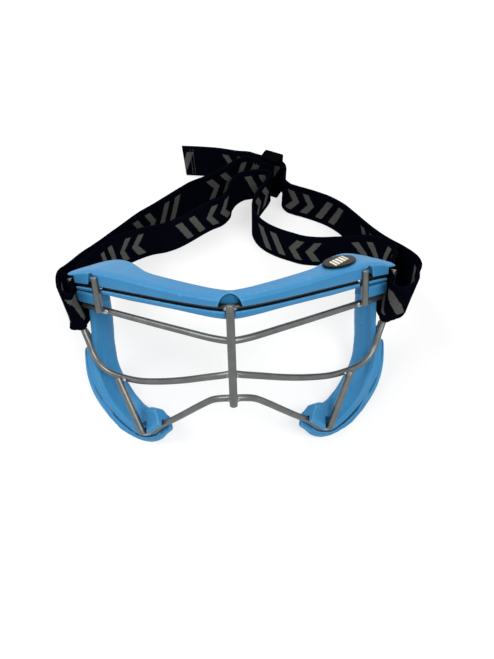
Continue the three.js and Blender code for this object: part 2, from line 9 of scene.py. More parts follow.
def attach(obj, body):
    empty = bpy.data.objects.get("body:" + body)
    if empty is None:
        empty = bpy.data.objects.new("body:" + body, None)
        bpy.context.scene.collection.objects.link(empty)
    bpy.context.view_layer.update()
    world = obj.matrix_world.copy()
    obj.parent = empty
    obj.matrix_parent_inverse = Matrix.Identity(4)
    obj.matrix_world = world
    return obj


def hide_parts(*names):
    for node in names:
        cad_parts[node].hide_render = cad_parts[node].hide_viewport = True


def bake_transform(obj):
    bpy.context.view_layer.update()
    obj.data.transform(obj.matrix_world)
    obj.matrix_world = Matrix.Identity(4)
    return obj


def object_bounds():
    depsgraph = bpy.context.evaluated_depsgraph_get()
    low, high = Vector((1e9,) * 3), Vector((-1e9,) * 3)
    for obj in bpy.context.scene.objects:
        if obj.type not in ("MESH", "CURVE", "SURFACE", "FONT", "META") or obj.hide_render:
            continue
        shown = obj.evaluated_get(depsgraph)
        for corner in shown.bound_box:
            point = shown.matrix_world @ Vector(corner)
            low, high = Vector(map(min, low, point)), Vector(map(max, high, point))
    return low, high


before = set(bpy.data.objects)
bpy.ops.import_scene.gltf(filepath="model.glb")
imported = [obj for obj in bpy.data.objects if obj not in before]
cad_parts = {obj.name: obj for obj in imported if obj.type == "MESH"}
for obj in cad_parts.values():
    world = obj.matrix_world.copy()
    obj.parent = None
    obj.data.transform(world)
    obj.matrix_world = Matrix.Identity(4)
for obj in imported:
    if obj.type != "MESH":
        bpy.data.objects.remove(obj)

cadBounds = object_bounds()
mm = 0.001  # lengths are millimetres until a mesh is made, which is in metres
print("goggles: frame loaded,", len(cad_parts), "nodes")

# measures shared by the pieces; in the goggles' upright frame x is across, y back and z up
cage = {
    "halfWidth": 80.0,  # the shares below are of this
    "noseRound": 3.5,
    "sweepSlope": 0.64,  # how fast the cage's face runs back beside the nose
    "chinTilt": 0.1,
    "wireSet": 1.2,  # the wires' middles behind that face
    "wireRadius": 1.6,
    "barRadius": 1.8,
    "fit": 0.3,
}
table = {
    "lean": math.radians(30),  # how far the goggles lean back as they lie
    "rest": np.array([0.0, -20.0, 67.52]),  # takes the point that they rest on to zero
    "shift": np.array([-4.8805, -105.0558, 0.0740]),  # and then to the middle of the whole part
}
webbing = {"width": 25.4, "thickness": 1.6, "reach": 200.0}  # the strap's shares are of its reach

rng = np.random.default_rng(7)
up = np.array([0.0, 0.0, 1.0])


def unit(vector):
    vector = np.asarray(vector, float)
    return vector / np.linalg.norm(vector)


def leaned(directions):
    d = np.atleast_2d(np.asarray(directions, float))
    c, s = math.cos(table["lean"]), math.sin(table["lean"])
    return np.column_stack([d[:, 0], d[:, 1] * c + d[:, 2] * s, d[:, 2] * c - d[:, 1] * s])


def toTable(points):
    # from the upright frame to the table's
    return leaned(np.atleast_2d(points) + table["rest"]) + table["shift"]


def curveThrough(points, perSpan, evenness=0.5):
    # Catmull-Rom through the points; evenness 0.5 is centripetal and 0 is uniform
    p = np.asarray(points, float)
    ends = np.vstack([2 * p[0] - p[1], p, 2 * p[-1] - p[-2]])
    samples = []
    for i in range(len(p) - 1):
        a, b, c, d = ends[i:i + 4]  # the curve runs from b to c
        d0, d1, d2 = [max(np.linalg.norm(y - x), 1e-6) ** evenness for x, y in ((a, b), (b, c), (c, d))]
        t1 = ((b - a) / d0 - (c - a) / (d0 + d1) + (c - b) / d1) * d1
        t2 = ((c - b) / d1 - (d - b) / (d1 + d2) + (d - c) / d2) * d1
        for t in np.arange(perSpan) / perSpan:
            bend, twist = 3 * (c - b) - 2 * t1 - t2, 2 * (b - c) + t1 + t2
            samples.append(b + t1 * t + bend * t ** 2 + twist * t ** 3)
    return np.vstack([samples, p[-1]])


def allRound(count):
    return np.linspace(0, 2 * math.pi, count, endpoint=False)


def tangents(path):
    t = np.gradient(path, axis=0)
    return t / np.linalg.norm(t, axis=1)[:, None]


# meshes: a part is its points and its faces
def loftFaces(rings, count):
    # each ring joined to the next, and a face over each end
    faces = []
    for i in range(rings - 1):
        for j in range(count):
            a, b = i * count + j, i * count + (j + 1) % count
            faces.append((a, b, b + count, a + count))
    last = (rings - 1) * count
    return faces + [tuple(range(count))[::-1], tuple(range(last, last + count))]


def loft(rings):
    rings = np.asarray(rings, float)
    return rings.reshape(-1, 3), loftFaces(len(rings), len(rings[0]))


def tableLoft(rings):
    # the same, from rings in the upright frame
    verts, faces = loft(rings)
    return toTable(verts), faces


def boxPart(low, high):
    corners = [(low[0], low[1]), (high[0], low[1]), (high[0], high[1]), (low[0], high[1])]
    return np.array([(x, y, z) for z in (low[2], high[2]) for x, y in corners], float), loftFaces(2, 4)


def rod(path, radius, sides=18, rounding=0.5):
    # a round wire along a path, its ends rounded off
    path = np.asarray(path, float)
    along = tangents(path)
    frameX = np.cross(along[0], up if abs(along[0][2]) < 0.9 else [1.0, 0.0, 0.0])
    turns = allRound(sides)

    def cap(end, tangent, inwards, angles):
        insets = [(1 - math.sin(a), 1 - math.cos(a)) for a in angles]
        return [(end + tangent * inwards * rounding * u, tangent, radius - rounding * v) for u, v in insets]

    rings = cap(path[0], along[0], 1, np.linspace(math.pi / 2, 0, 4))
    rings += [(place, tangent, radius) for place, tangent in zip(path[1:-1], along[1:-1])]
    rings += cap(path[-1], along[-1], -1, np.linspace(0, math.pi / 2, 4))
    verts = []
    for place, tangent, size in rings:
        frameX = unit(frameX - tangent * np.dot(frameX, tangent))
        frameY = np.cross(tangent, frameX)
        verts.append([place + size * (math.cos(a) * frameX + math.sin(a) * frameY) for a in turns])
    return loft(verts)


def linked(name, data):
    # a new object in the scene
    made = bpy.data.objects.new(name, data)
    bpy.context.scene.collection.objects.link(made)
    return made


def asMesh(name, parts):
    # one object from closed parts, given in millimetres in the table's frame
    verts, faces = [], []
    for partVerts, partFaces in parts:
        faces += [tuple(len(verts) + i for i in face) for face in partFaces]
        verts += [tuple(v * mm) for v in partVerts]
    mesh = bpy.data.meshes.new(name)
    mesh.from_pydata(verts, [], faces)
    turned = bmesh.new()  # every closed part's faces are turned outwards
    turned.from_mesh(mesh)
    bmesh.ops.recalc_face_normals(turned, faces=turned.faces)
    turned.to_mesh(mesh)
    turned.free()
    smoothed(mesh)
    return linked(name, mesh)


def smoothed(mesh):
    mesh.polygons.foreach_set("use_smooth", [True] * len(mesh.polygons))


def moulded(name, parts, cutters, look):
    # parts are melted together, the cutters taken away, and every edge softened as a mould does
    piece = asMesh(name, parts[:1])
    helpers = [(asMesh("part", [part]), "UNION") for part in parts[1:]]
    helpers += [(asMesh("cutter", [cutter]), "DIFFERENCE") for cutter in cutters]
    for helper, operation in helpers:
        step = piece.modifiers.new("join", "BOOLEAN")
        step.operation, step.object, step.solver = operation, helper, "MANIFOLD"
    remesh = piece.modifiers.new("grain", "REMESH")
    remesh.mode, remesh.voxel_size, remesh.adaptivity = "VOXEL", look["grain"] * mm, 0
    soft = piece.modifiers.new("soft", "SMOOTH")
    soft.factor, soft.iterations = 0.5, look["smoothing"]
    made = bpy.data.meshes.new_from_object(piece.evaluated_get(bpy.context.evaluated_depsgraph_get()))
    piece.modifiers.clear()
    piece.data = made
    smoothed(made)
    for helper, _ in helpers:
        bpy.data.objects.remove(helper)
    return piece


# finishes
def operator(operation, reflected=False):
    def joined(tap, other):
        return tap.maths(operation, *((other, tap) if reflected else (tap, other)))
    return joined


class Tap:
    # one output of a node; an expression on it becomes Math nodes
    def __init__(self, finish, socket):
        self.finish, self.socket = finish, socket

    def maths(self, operation, *values):
        return self.finish.node("ShaderNodeMath", {"operation": operation}, dict(enumerate(values)))

    __add__ = __radd__ = operator("ADD")
    __sub__, __rsub__ = operator("SUBTRACT"), operator("SUBTRACT", True)
    __mul__ = __rmul__ = operator("MULTIPLY")
    __truediv__ = operator("DIVIDE")
    __mod__ = operator("FLOORED_MODULO")

    def __abs__(self):
        return self.maths("ABSOLUTE", self)

    def sine(self):
        return self.maths("SINE", self)

    def floor(self):
        return self.maths("FLOOR", self)

    def near(self, middle, half):
        return self.maths("COMPARE", self, middle, half)

    def over(self, other):
        return self.maths("GREATER_THAN", self, other)

    def ramp(self, low, high):
        # 0 at low to 1 at high, eased
        return self.finish.node("ShaderNodeMapRange", {"interpolation_type": "SMOOTHSTEP"},
                                {"Value": self, "From Min": low, "From Max": high})


class Finish:
    # a material or a world, whose nodes all come from node()
    def __init__(self, name, kind=bpy.data.materials):
        self.owner = kind.new(name)
        self.owner.use_nodes = True
        self.tree = self.owner.node_tree
        self.tree.nodes.clear()

    def node(self, kind, settings=None, values=None, out=0):
        made = self.tree.nodes.new(kind)
        for key, value in (settings or {}).items():
            setattr(made, key, value)
        for key, value in (values or {}).items():
            if isinstance(value, Tap):
                self.tree.links.new(value.socket, made.inputs[key])
            else:
                made.inputs[key].default_value = value
        return Tap(self, made.outputs[out]) if made.outputs else None

    def noise(self, size, detail=3.0, roughness=0.5, stretch=None):
        # size is how large the patches are, in millimetres
        place = self.node("ShaderNodeTexCoord", out="Object")
        if stretch:
            place = self.node("ShaderNodeVectorMath", {"operation": "MULTIPLY"}, {0: place, 1: stretch})
        values = {"Vector": place, "Scale": 1 / (size * mm), "Detail": detail, "Roughness": roughness}
        return self.node("ShaderNodeTexNoise", None, values)

    def mixed(self, share, low, high):
        return self.node("ShaderNodeMix", {"data_type": "RGBA"}, {0: share, 6: low, 7: high}, 2)

    def bump(self, height, strength, depth):
        # depth is the real height of 1, in millimetres
        values = {"Strength": strength, "Distance": depth * mm, "Height": height}
        return self.node("ShaderNodeBump", None, values)

    def shown(self):
        # 1 where the camera, a reflection or glass shows it, and 0 where it only lights the object
        camera, glossy, clear = [self.node("ShaderNodeLightPath", out=f"Is {kind} Ray")
                                 for kind in ("Camera", "Glossy", "Transmission")]
        return camera + glossy + clear

    def output(self, kind, shader):
        self.node(f"ShaderNodeOutput{kind}", None, {"Surface": shader})
        return self.owner

    def surface(self, base, rough, normal, constants):
        values = {"Base Color": base, "Roughness": rough, "Normal": normal, **constants}
        return self.output("Material", self.node("ShaderNodeBsdfPrincipled", None, values))


def colour(red, green, blue):
    return (red, green, blue, 1.0)


unshiny = {"Specular IOR Level": 0.0, "IOR": 1.1}


siliconeLook = {
    "colour": colour(0.034, 0.21, 0.425),
    "deepColour": colour(0.025, 0.178, 0.375),
    "edgeHighlightAndWear": colour(0.13, 0.37, 0.61),
    "roughness": 0.45,
    "blotches": 14.0,  # how large the patches of each kind are
    "smears": 6.0,
    "scuffs": 2.5,
    "ripples": 1.6,
    "grain": 0.35,
    "edges": (0.503, 0.535),  # how sharp an edge is where its painted highlight and wear start and where they are strongest
    "depth": 0.05,
}


def siliconeFinish():
    look, make = siliconeLook, Finish("blueSilicone")
    blotches = make.noise(look["blotches"], 2)
    grain = make.noise(look["grain"], 2)
    edge = make.node("ShaderNodeNewGeometry", out="Pointiness").ramp(*look["edges"])
    scuff = make.noise(look["scuffs"], 4).ramp(0.35, 0.75)
    base = make.mixed(blotches, look["deepColour"], look["colour"])
    # painted highlight along sharp edges, partly wear where the scuffs fall
    base = make.mixed(edge * (0.2 + 0.3 * scuff), base, look["edgeHighlightAndWear"])
    rough = look["roughness"] + 0.1 * (make.noise(look["smears"], 3) - 0.5) + 0.08 * edge
    normal = make.bump(grain + 0.6 * make.noise(look["ripples"], 2), 0.35, look["depth"])
    constants = {"Specular IOR Level": 0.22, "Sheen Weight": 0.03, "Sheen Roughness": 0.5}
    return make.surface(base, rough, normal, constants)


steelLook = {
    "colour": colour(0.16, 0.167, 0.161),
    "shade": colour(0.118, 0.125, 0.12),
    "speck": colour(0.12, 0.12, 0.115),
    "roughness": 0.34,
    "patches": 5.0,  # how large
    "specks": 0.7,
    "drawn": 0.35,
    "depth": 0.02,
}


def steelFinish(name, share):
    # share is how light it is; below 1 it paints shade on the steel
    look, make = steelLook, Finish(name)
    patches = make.noise(look["patches"], 3)
    specks = make.noise(look["specks"], 3).ramp(0.68, 0.78)
    drawn = make.noise(look["drawn"], 2)
    shade, lit = [colour(*[share * part for part in look[key][:3]]) for key in ("shade", "colour")]
    base = make.mixed(patches.ramp(0.2, 0.8), shade, lit)
    base = make.mixed(specks * 0.5, base, look["speck"])
    rough = look["roughness"] + 0.06 * (patches - 0.5) + 0.15 * specks
    normal = make.bump(drawn + patches, 0.03, look["depth"])
    return make.surface(base, rough, normal, {"Metallic": 0.85})


weldLook = {
    "dark": colour(0.2, 0.205, 0.2),
    "bright": colour(0.45, 0.45, 0.44),
    "patches": 0.9,
    "depth": 0.15,
}


def weldFinish():
    look, make = weldLook, Finish("weldSteel")
    patches = make.noise(look["patches"], 3)
    base = make.mixed(patches.ramp(0.35, 0.7), look["dark"], look["bright"])
    rough = 0.22 + 0.2 * patches
    normal = make.bump(patches, 0.6, look["depth"])
    return make.surface(base, rough, normal, {"Metallic": 0.9})


webbingLook = {
    "dark": colour(0.0012, 0.0015, 0.0038),
    "faded": colour(0.002, 0.0026, 0.006),
    "yarn": colour(0.105, 0.105, 0.096),
    "yarnShade": colour(0.072, 0.072, 0.068),
    "rib": 1.05,  # across
    "pick": 0.8,  # along
    "selvedge": 1.4,
    "step": 0.55,  # the size of one woven point of the motif
    "repeat": 66.0,
    "start": -22.0,
    "motifHalf": 8.2,
    "chevrons": (9.0, 20.0),
    "chevronLean": 0.62,
    "chevronArm": 6.0,
    "slashes": (36.0, 46.0),
    "slashLean": 0.45,
    "stroke": 2.4,
    "fuzz": 1.2,  # how large the patches of each kind are
    "fading": 9.0,
    "fibres": 0.4,
    "depth": 0.14,
}


def alongAndAcross(make, attribute):
    # where on a piece, in millimetres, from the places that its points keep
    place = make.node("ShaderNodeAttribute", {"attribute_name": attribute}, out="Vector")
    return [make.node("ShaderNodeSeparateXYZ", None, {0: place}, axis) * (1 / mm) for axis in (0, 1)]


def webbingFinish():
    look, make = webbingLook, Finish("blackWebbing")
    along, across = alongAndAcross(make, "wovenPlace")
    step = look["step"]
    pointAlong = ((along / step).floor() + 0.5) * step
    pointAcross = ((across / step).floor() + 0.5) * step
    cell = (pointAlong + look["start"]) % look["repeat"]
    motif = 0.0
    for start in look["chevrons"]:
        slant = cell + look["chevronLean"] * abs(pointAcross)
        motif = slant.near(start + look["chevronArm"], look["stroke"]) + motif
    for start in look["slashes"]:
        motif = (cell - look["slashLean"] * pointAcross).near(start, look["stroke"]) + motif
    motif = motif * abs(pointAcross).near(0.0, look["motifHalf"])
    fuzz = make.noise(look["fuzz"], 3)
    dark = make.mixed(make.noise(look["fading"], 2), look["dark"], look["faded"])
    yarn = make.mixed(fuzz, look["yarnShade"], look["yarn"])
    base = make.mixed(motif * (0.8 + 0.2 * fuzz), dark, yarn)
    ribs = (across * (math.pi / look["rib"])).sine()
    weave = (along * (2 * math.pi / look["pick"])).sine() * ribs
    edge = abs(across).over(webbing["width"] / 2 - look["selvedge"])
    fibres = make.noise(look["fibres"], 2)
    height = weave * 0.5 + abs(ribs) * 0.5 + motif * 0.5 - edge * 0.6 + 0.4 * fibres
    normal = make.bump(height, 0.55, look["depth"])
    return make.surface(base, 0.85 - 0.1 * motif, normal, unshiny)


threadLook = {
    "dark": colour(0.008, 0.008, 0.01),
    "worn": colour(0.03, 0.03, 0.034),
    "fuzz": 0.3,
    "depth": 0.05,
}


def threadFinish():
    look, make = threadLook, Finish("blackThread")
    fuzz = make.noise(look["fuzz"], 3)
    base = make.mixed(fuzz, look["dark"], look["worn"])
    normal = make.bump(fuzz, 0.5, look["depth"])
    return make.surface(base, 0.6 + 0.2 * fuzz, normal, {"Sheen Weight": 0.2, "Specular IOR Level": 0.3})


plasticLook = {
    "colour": colour(0.001, 0.0011, 0.0014),
    "pale": colour(0.002, 0.0022, 0.0027),
    "scratch": colour(0.03, 0.032, 0.036),
    "roughness": 0.16,
    "patches": 6.0,
    "scratches": 1.5,
    "smears": 0.8,
    "pits": 0.5,
    "depth": 0.02,
}


def plasticFinish():
    look, make = plasticLook, Finish("glossBlack")
    scratches = make.noise(look["scratches"], 4, 0.6, (1.0, 1.0, 6.0)).ramp(0.55, 0.75)
    base = make.mixed(make.noise(look["patches"], 2), look["colour"], look["pale"])
    base = make.mixed(scratches * 0.1, base, look["scratch"])
    rough = look["roughness"] + 0.16 * scratches + 0.05 * make.noise(look["smears"], 2)
    normal = make.bump(make.noise(look["pits"], 2), 0.2, look["depth"])
    return make.surface(base, rough, normal, unshiny)


blueSilicone = siliconeFinish()
satinSteel = steelFinish("satinSteel", 1.0)
slotSteelPaintedShade = steelFinish("slotSteelPaintedShade", 0.3)  # painted shade: a darker copy of the steel, for the wire that lies in the pad's slot
weldSteel = weldFinish()
blackWebbing = webbingFinish()
blackThread = threadFinish()
glossBlack = plasticFinish()
print("goggles: finishes made")


def fitted(piece, material, body, slot, *nodes):
    # its finish, the body it moves with, and the nodes it stands for
    piece.data.materials.clear()
    piece.data.materials.append(material)
    if body:
        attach(piece, body)
    if nodes:
        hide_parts(*nodes)
    return piece


# cage
def sweepBack(x, z, behind=0.0):
    arm = np.hypot(cage["noseRound"], cage["sweepSlope"] * x) - cage["noseRound"]
    return arm + cage["chinTilt"] * np.minimum(z, 0) + behind


def onCage(share, behind=0.0):
    x, z = share[0] * cage["halfWidth"], share[1] * cage["halfWidth"]
    return np.array([x, sweepBack(x, z, behind), z])


def mirrored(points):
    points = np.asarray(points, float)
    return np.vstack([(points[points[:, 0] > 0] * [-1, 1, 1])[::-1], points])


wires = {  # each from the middle out to its right end
    "brow": [(0, 0.18), (0.1, 0.177), (0.28, 0.168), (0.48, 0.162), (0.7, 0.155), (0.86, 0.148),
             (0.95, 0.14)],
    "upperEye": [(0, -0.012), (0.08, -0.012), (0.3, -0.01), (0.6, -0.008), (0.945, -0.004)],
    "lowerEye": [(0, -0.205), (0.06, -0.22), (0.15, -0.255), (0.3, -0.32), (0.46, -0.38), (0.6, -0.42),
                 (0.72, -0.433), (0.82, -0.425), (0.885, -0.39), (0.925, -0.335), (0.95, -0.255)],
    "rim": [(0, -0.352), (0.06, -0.36), (0.12, -0.385), (0.19, -0.44), (0.28, -0.52), (0.37, -0.6),
            (0.435, -0.655), (0.475, -0.695), (0.53, -0.755), (0.61, -0.785), (0.7, -0.765), (0.79, -0.71),
            (0.87, -0.625), (0.925, -0.525), (0.95, -0.42), (0.955, -0.32), (0.96, -0.225)],
    "rimBehind": (1.15, 1.1, 0.75, 0.3),  # wire diameters behind the cage's face, from the top end down
    "prongFoot": (0.985, -0.16, 47.2),
    "prongTop": (1.03, 0.152, 51.36),
}


def prongPoint(key):
    x, z, y = wires[key]
    return np.array([x * cage["halfWidth"], y, z * cage["halfWidth"]])


prongFoot, prongTop = prongPoint("prongFoot"), prongPoint("prongTop")
prongMiddle = (prongFoot + prongTop) / 2


def cagePath(key, perSpan=8, extra=()):
    points = [onCage(share, cage["wireSet"]) for share in wires[key]]
    if key == "rim":
        for i, behind in enumerate(wires["rimBehind"]):
            points[-1 - i][1] += behind * 2 * cage["wireRadius"]
    return curveThrough(mirrored(points + list(extra)), perSpan)


browPath = cagePath("brow")
upperPath = cagePath("upperEye")
lowerPath = cagePath("lowerEye", extra=(prongFoot, prongMiddle, prongTop))
rimPath = cagePath("rim")

for name, node, path, finish in (
    # the brow wire takes the steel with painted shade, darkened where the pad's slot hides it
    ("browWire", "brow_wire", browPath, slotSteelPaintedShade),
    ("upperEyeWire", "upper_eye_wire", upperPath, satinSteel),
    ("lowerEyeWire", "lower_eye_wire", lowerPath, satinSteel),
    ("rimWire", "rim_wire", rimPath, satinSteel),
):
    fitted(asMesh(name, [rod(toTable(path), cage["wireRadius"])]), finish, "frame", "wire", node)

barStand = cage["wireRadius"] + cage["barRadius"] + cage["fit"]
barSet = cage["wireSet"] - barStand / math.cos(math.atan(cage["sweepSlope"]))
bars = {  # node, top, foot, how far behind, and how far it runs on past each, in radii
    "centreBar": ("centre_bar", (0, 0.19), (0, -0.352), cage["wireSet"] - barStand, 1.0, 1.0),
    "templeBarLeft": ("temple_bar_left", (-0.81, 0.16), (-0.81, 0), barSet, 2.9, 0.1),
    "templeBarRight": ("temple_bar_right", (0.797, 0.16), (0.808, 0), barSet, 2.9, 0.1),
    "cheekBarLeft": ("cheek_bar_left", (-0.725, -0.433), (-0.59, -0.76), barSet, 1.0, -0.1),
    "cheekBarRight": ("cheek_bar_right", (0.725, -0.433), (0.59, -0.76), barSet, 1.0, -0.1),
}
barLines = {}
for name, (node, top, foot, behind, pastTop, pastFoot) in bars.items():
    ends = np.array([onCage(top, behind), onCage(foot, behind)])
    radius = unit(ends[1] - ends[0]) * cage["barRadius"]
    barLines[name] = ends
    path = np.linspace(ends[0] - radius * pastTop, ends[1] + radius * pastFoot, 12)
    fitted(asMesh(name, [rod(toTable(path), cage["barRadius"])]), satinSteel, "frame", "wire", node)
print("goggles: cage bent")

welds = {
    "barBead": (2.7, 1.3, 1.3),  # half its size along the wire, across and out
    "rimBead": (3.2, 1.8, 1.7),
    "variety": (0.92, 1.08),
    "set": 1.05,  # how far out its middle is, in the wire's radii
    "lumps": 0.12,
    "reach": 1.25,  # bars and wires are welded where they pass nearer than this, in bar distances
}


def closest(line, path):
    # where a straight bar passes nearest to a wire
    steps = line[0] + np.linspace(0, 1, 60)[:, None] * (line[1] - line[0])
    gaps = np.linalg.norm(steps[:, None] - path[None], axis=2)
    i, j = np.unravel_index(gaps.argmin(), gaps.shape)
    return steps[i], path[j], tangents(path)[j], gaps[i, j]


def lump(middle, axes, sizes, roughness, rows=9, columns=14):
    # a closed, uneven drop of metal
    rings = []
    phase = rng.uniform(0, 2 * math.pi, 4)
    for a in np.linspace(0.12, math.pi - 0.12, rows):
        ring = []
        for b in allRound(columns):
            uneven = 1 + roughness * (math.sin(2 * b + phase[0]) * math.sin(2 * a + phase[1])
                                      + 0.6 * math.sin(3 * b + phase[2]) * math.sin(3 * a + phase[3]))
            drop = np.array([math.cos(a), math.sin(a) * math.cos(b), math.sin(a) * math.sin(b)])
            ring.append(middle + (drop * sizes * uneven) @ axes)
        rings.append(ring)
    return loft(rings)


def weldBeads():
    lumps = []
    for line in barLines.values():
        for path in (browPath, upperPath, lowerPath, rimPath):
            onBar, onWire, along, gap = closest(line, path)
            if gap > barStand * welds["reach"]:
                continue
            toBar = unit(onBar - onWire)
            axes = np.array([along, unit(np.cross(toBar, along)), toBar])
            middle = onWire + toBar * cage["wireRadius"] * welds["set"]
            sizes = np.array(welds["barBead"]) * rng.uniform(*welds["variety"], 3)
            lumps.append(lump(toTable(middle)[0], leaned(axes), sizes, welds["lumps"]))
    for side in (-1, 1):  # the rim's ends, behind the lower eye wire
        end = rimPath[-1 if side > 0 else 0]
        nearest = lowerPath[np.linalg.norm(lowerPath - end, axis=1).argmin()]
        toWire = unit(end - nearest)
        across = unit(np.cross(toWire, unit(prongFoot * [side, 1, 1] - nearest)))
        axes = np.array([np.cross(across, toWire), across, toWire])
        middle = toTable((end + nearest) / 2)[0]
        lumps.append(lump(middle, leaned(axes), np.array(welds["rimBead"]), welds["lumps"]))
    return lumps


fitted(asMesh("weldBeads", weldBeads()), weldSteel, "frame", "wire")
print("goggles: welds laid")

# pads
padLook = {
    "lip": 2.6,
    "slotRoom": 0.6,
    "slotDepth": 4.4,
    "slotMouth": 1.8,
    "lipReach": 2.1,  # how far the side pad's inner lip runs forward
    "hookReach": 0.4,
    "outerReach": 3.4,  # the same of its outer lip
    "ridge": 1.1,
    "centreArch": (5.0, 4.5, 5.4, 2.4),  # half the width, height, how far it leans back, least depth
    "templeArch": (2.9, 5.6, 2.6, 1.0),
    "templeArchOut": 0.7,
    "archMouth": (9.0, 4.0),  # how far an arch is open in front of its rim and above it
    "archTaper": (0.92, 0.88),  # its width and height at the back, as shares of the rim's
    "bead": 0.8,  # the radius of the rim round an arch
    "beadOut": (1.06, 0.2),  # where the bead runs: a share across, and higher by this
    "cheekNotch": 2.9,
    "notchRise": 1.2,
    "tableGap": 0.08,
    "rings": 8,  # how many from each row of a table to the next
    "grain": 0.36,
    "smoothing": 12,
}
# each row is shares across, deep, and the heights of the crown and the foot
browRows = [
    (0, 0.115, 0.245, 0.115), (0.06, 0.115, 0.245, 0.115), (0.16, 0.118, 0.243, 0.115),
    (0.28, 0.125, 0.243, 0.115), (0.38, 0.13, 0.245, 0.112), (0.5, 0.135, 0.25, 0.108),
    (0.57, 0.15, 0.253, 0.105), (0.64, 0.185, 0.256, 0.105), (0.71, 0.225, 0.256, 0.105),
    (0.77, 0.243, 0.256, 0.105), (0.83, 0.248, 0.253, 0.105), (0.89, 0.225, 0.242, 0.105),
    (0.95, 0.195, 0.222, 0.105),
]
tipRows = [(0.92, 0.2, 0.232, 0.19), (0.95, 0.19, 0.222, 0.187), (0.975, 0.155, 0.213, 0.186),
           (0.998, 0.11, 0.207, 0.186), (1.01, 0.06, 0.204, 0.186)]


def browOutline(depth, top, foot):
    # one section of the pad round its slot: back from the wire, and up
    lip, slot = padLook["lip"], cage["wireRadius"] + padLook["slotRoom"]
    deep, mouth = padLook["slotDepth"], padLook["slotMouth"] / 2
    crown, base = max(top, slot + lip), min(foot, -slot - lip / 2)
    face = -cage["wireRadius"] - cage["fit"]
    front = face - lip / 2
    return [(front, mouth), (front, crown - lip / 2), (front + lip / 2, crown - lip / 8), (0, crown),
            (depth - lip, crown), (depth, crown - lip), (depth - lip / 2, crown - 2 * lip), (deep, base),
            (0, base), (front + lip / 4, base + lip / 3), (front, -mouth), (face, -mouth), (face, -slot),
            (deep - lip, -slot), (deep - lip, slot), (face, slot), (face, mouth)]


def tipOutline(depth, top, foot):
    # the wing's thin end, above the slot
    lip, bevel = padLook["lip"], (top - foot) / 3
    return [(-lip, foot + bevel), (-lip * 0.75, top - bevel), (0, top), (depth - bevel, top),
            (depth, top - bevel), (depth, foot), (-lip * 0.75, foot)]


def blockOutline(depth, top, foot):
    # the block under the brow pad's end, where the side pad starts
    front = -cage["wireRadius"] - padLook["lip"] / 2
    return [(-cage["wireRadius"], foot), (front, foot + 1.5), (front, top - 0.6), (front + 0.6, top),
            (depth, top), (depth, foot)]


browHeights = np.array([onCage(share) for share in wires["brow"]])


def browHeight(x):
    return np.interp(abs(x), browHeights[:, 0], browHeights[:, 2])


def browBack(x):
    # which way is back, square to the brow
    slope = cage["sweepSlope"]
    turn = math.atan(slope * slope * x / math.hypot(2 * cage["noseRound"], slope * x))
    return np.array([-math.sin(turn), math.cos(turn), 0.0])


def browMiddle(x):
    return np.array([x, sweepBack(x, 0, cage["wireSet"]), browHeight(x)])


def browLoft(rows, outlineOf):
    fine = curveThrough(rows, padLook["rings"], 0) if len(rows) > 2 else np.array(rows, float)
    rings = []
    for x, depth, top, foot in fine * cage["halfWidth"]:
        middle, back = browMiddle(x), browBack(x)
        outline = outlineOf(depth, top - middle[2], foot - middle[2])
        rings.append([middle + back * u + up * v for u, v in outline])
    return tableLoft(rings)


def flippedX(part):
    # mirrored across the goggles' middle plane
    verts, faces = part
    return (verts - table["shift"]) * [-1, 1, 1] + table["shift"], [face[::-1] for face in faces]


def arch(x, sizes):
    # a round-headed opening in the upper lip, leaning back, and the bead that runs round its edge
    across, high, leanBack, deep = sizes
    back = browBack(x)
    side = np.array([back[1], -back[0], 0.0])
    middle = browMiddle(x)
    front = -cage["wireRadius"] - cage["fit"] - padLook["lip"] / 2
    low = padLook["slotMouth"] / 3
    turns = np.linspace(0, math.pi, 33)

    def point(v, u, w):
        return middle + side * v + back * u + up * w

    rim = [(across * math.cos(a), front + leanBack * math.sin(a), low + high * math.sin(a)) for a in turns]
    (narrower, lower), (wider, higher) = padLook["archTaper"], padLook["beadOut"]
    inner = [(v * narrower, max(u, deep), w * lower) for v, u, w in rim]
    rings = []
    for ring, ahead, above in ((rim, *padLook["archMouth"]), (rim, 0.0, 0.0), (inner, 0.0, 0.0)):
        closed = ring + [(ring[-1][0], ring[-1][1], -low), (ring[0][0], ring[0][1], -low)]
        rings.append([point(v, u - ahead, w + (above if w > 0 else 0)) for v, u, w in closed])
    edge = [point(v * wider, u, w + higher) for v, u, w in rim[2:-2]]
    return tableLoft(rings), rod(toTable(edge), padLook["bead"], sides=12, rounding=0.1)


def browPad():
    full = [(-x, *rest) for x, *rest in browRows[:0:-1]] + browRows
    tip = browLoft(tipRows, tipOutline)
    arches = [arch(0, padLook["centreArch"])]
    for name in ("templeBarLeft", "templeBarRight"):
        x = barLines[name][0][0]
        arches.append(arch(x + math.copysign(padLook["templeArchOut"], x), padLook["templeArch"]))
    parts = [browLoft(full, browOutline), tip, flippedX(tip)] + [bead for _, bead in arches]
    cutters = [opening for opening, _ in arches]
    for name in ("centreBar", "templeBarLeft", "templeBarRight"):
        roomy = cage["barRadius"] + 2 * cage["fit"]
        cutters.append(rod(toTable(barLines[name]), roomy, sides=24, rounding=0.1))
    return moulded("browPad", parts, cutters, padLook)


